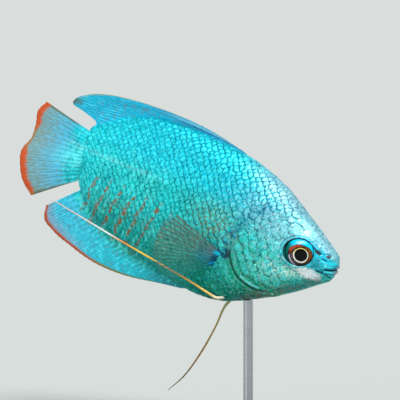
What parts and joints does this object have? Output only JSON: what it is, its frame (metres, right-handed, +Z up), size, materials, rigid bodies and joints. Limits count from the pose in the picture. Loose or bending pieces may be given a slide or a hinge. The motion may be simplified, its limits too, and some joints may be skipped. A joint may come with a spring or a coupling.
{
  "type": "dwarf gourami fish model",
  "caption": "Life-size still model of a turquoise dwarf gourami swimming nose down, with thread-like pelvic fins, on a small rod and oval wooden base.",
  "frame": {"origin": "centre of the stand base's bottom face, on the floor", "axes": "+X towards the fish's head, +Z up, +Y to the fish's left; the fish is pitched 22 degrees nose down"},
  "size_m": [0.075, 0.046, 0.0715],
  "materials": {
    "body_skin": "scaly, satin and faintly iridescent turquoise",
    "head_skin": "smooth, pale silvery turquoise, satin",
    "eye": "wet gloss, black pupil with a gold ring and red-brown iris",
    "median_fin": "satin blue membrane over fine rays, orange-red margin",
    "tail_fin": "thin, slightly clear blue-grey membrane over rays, orange-red margin",
    "pectoral_fin": "thin clear grey-teal membrane over fine rays",
    "feeler": "satin amber thread, pale towards the tip",
    "stand_wood": "dark stained and waxed",
    "stand_steel": "brushed"
  },
  "bodies": {
    "root": {"head": "head_skin", "lower_jaw": "head_skin", "gill_cover_right": "head_skin", "gill_cover_left": "head_skin", "torso": "body_skin", "tail_base": "body_skin", "eye_right": "eye", "eye_left": "eye", "dorsal_fin": "median_fin", "anal_fin": "median_fin", "caudal_fin": "tail_fin", "pectoral_fin_right": "pectoral_fin", "pectoral_fin_left": "pectoral_fin", "pelvic_feeler_right": "feeler", "pelvic_feeler_left": "feeler", "stand_base": "stand_wood", "stand_rod": "stand_steel"}
  },
  "joints": []
}
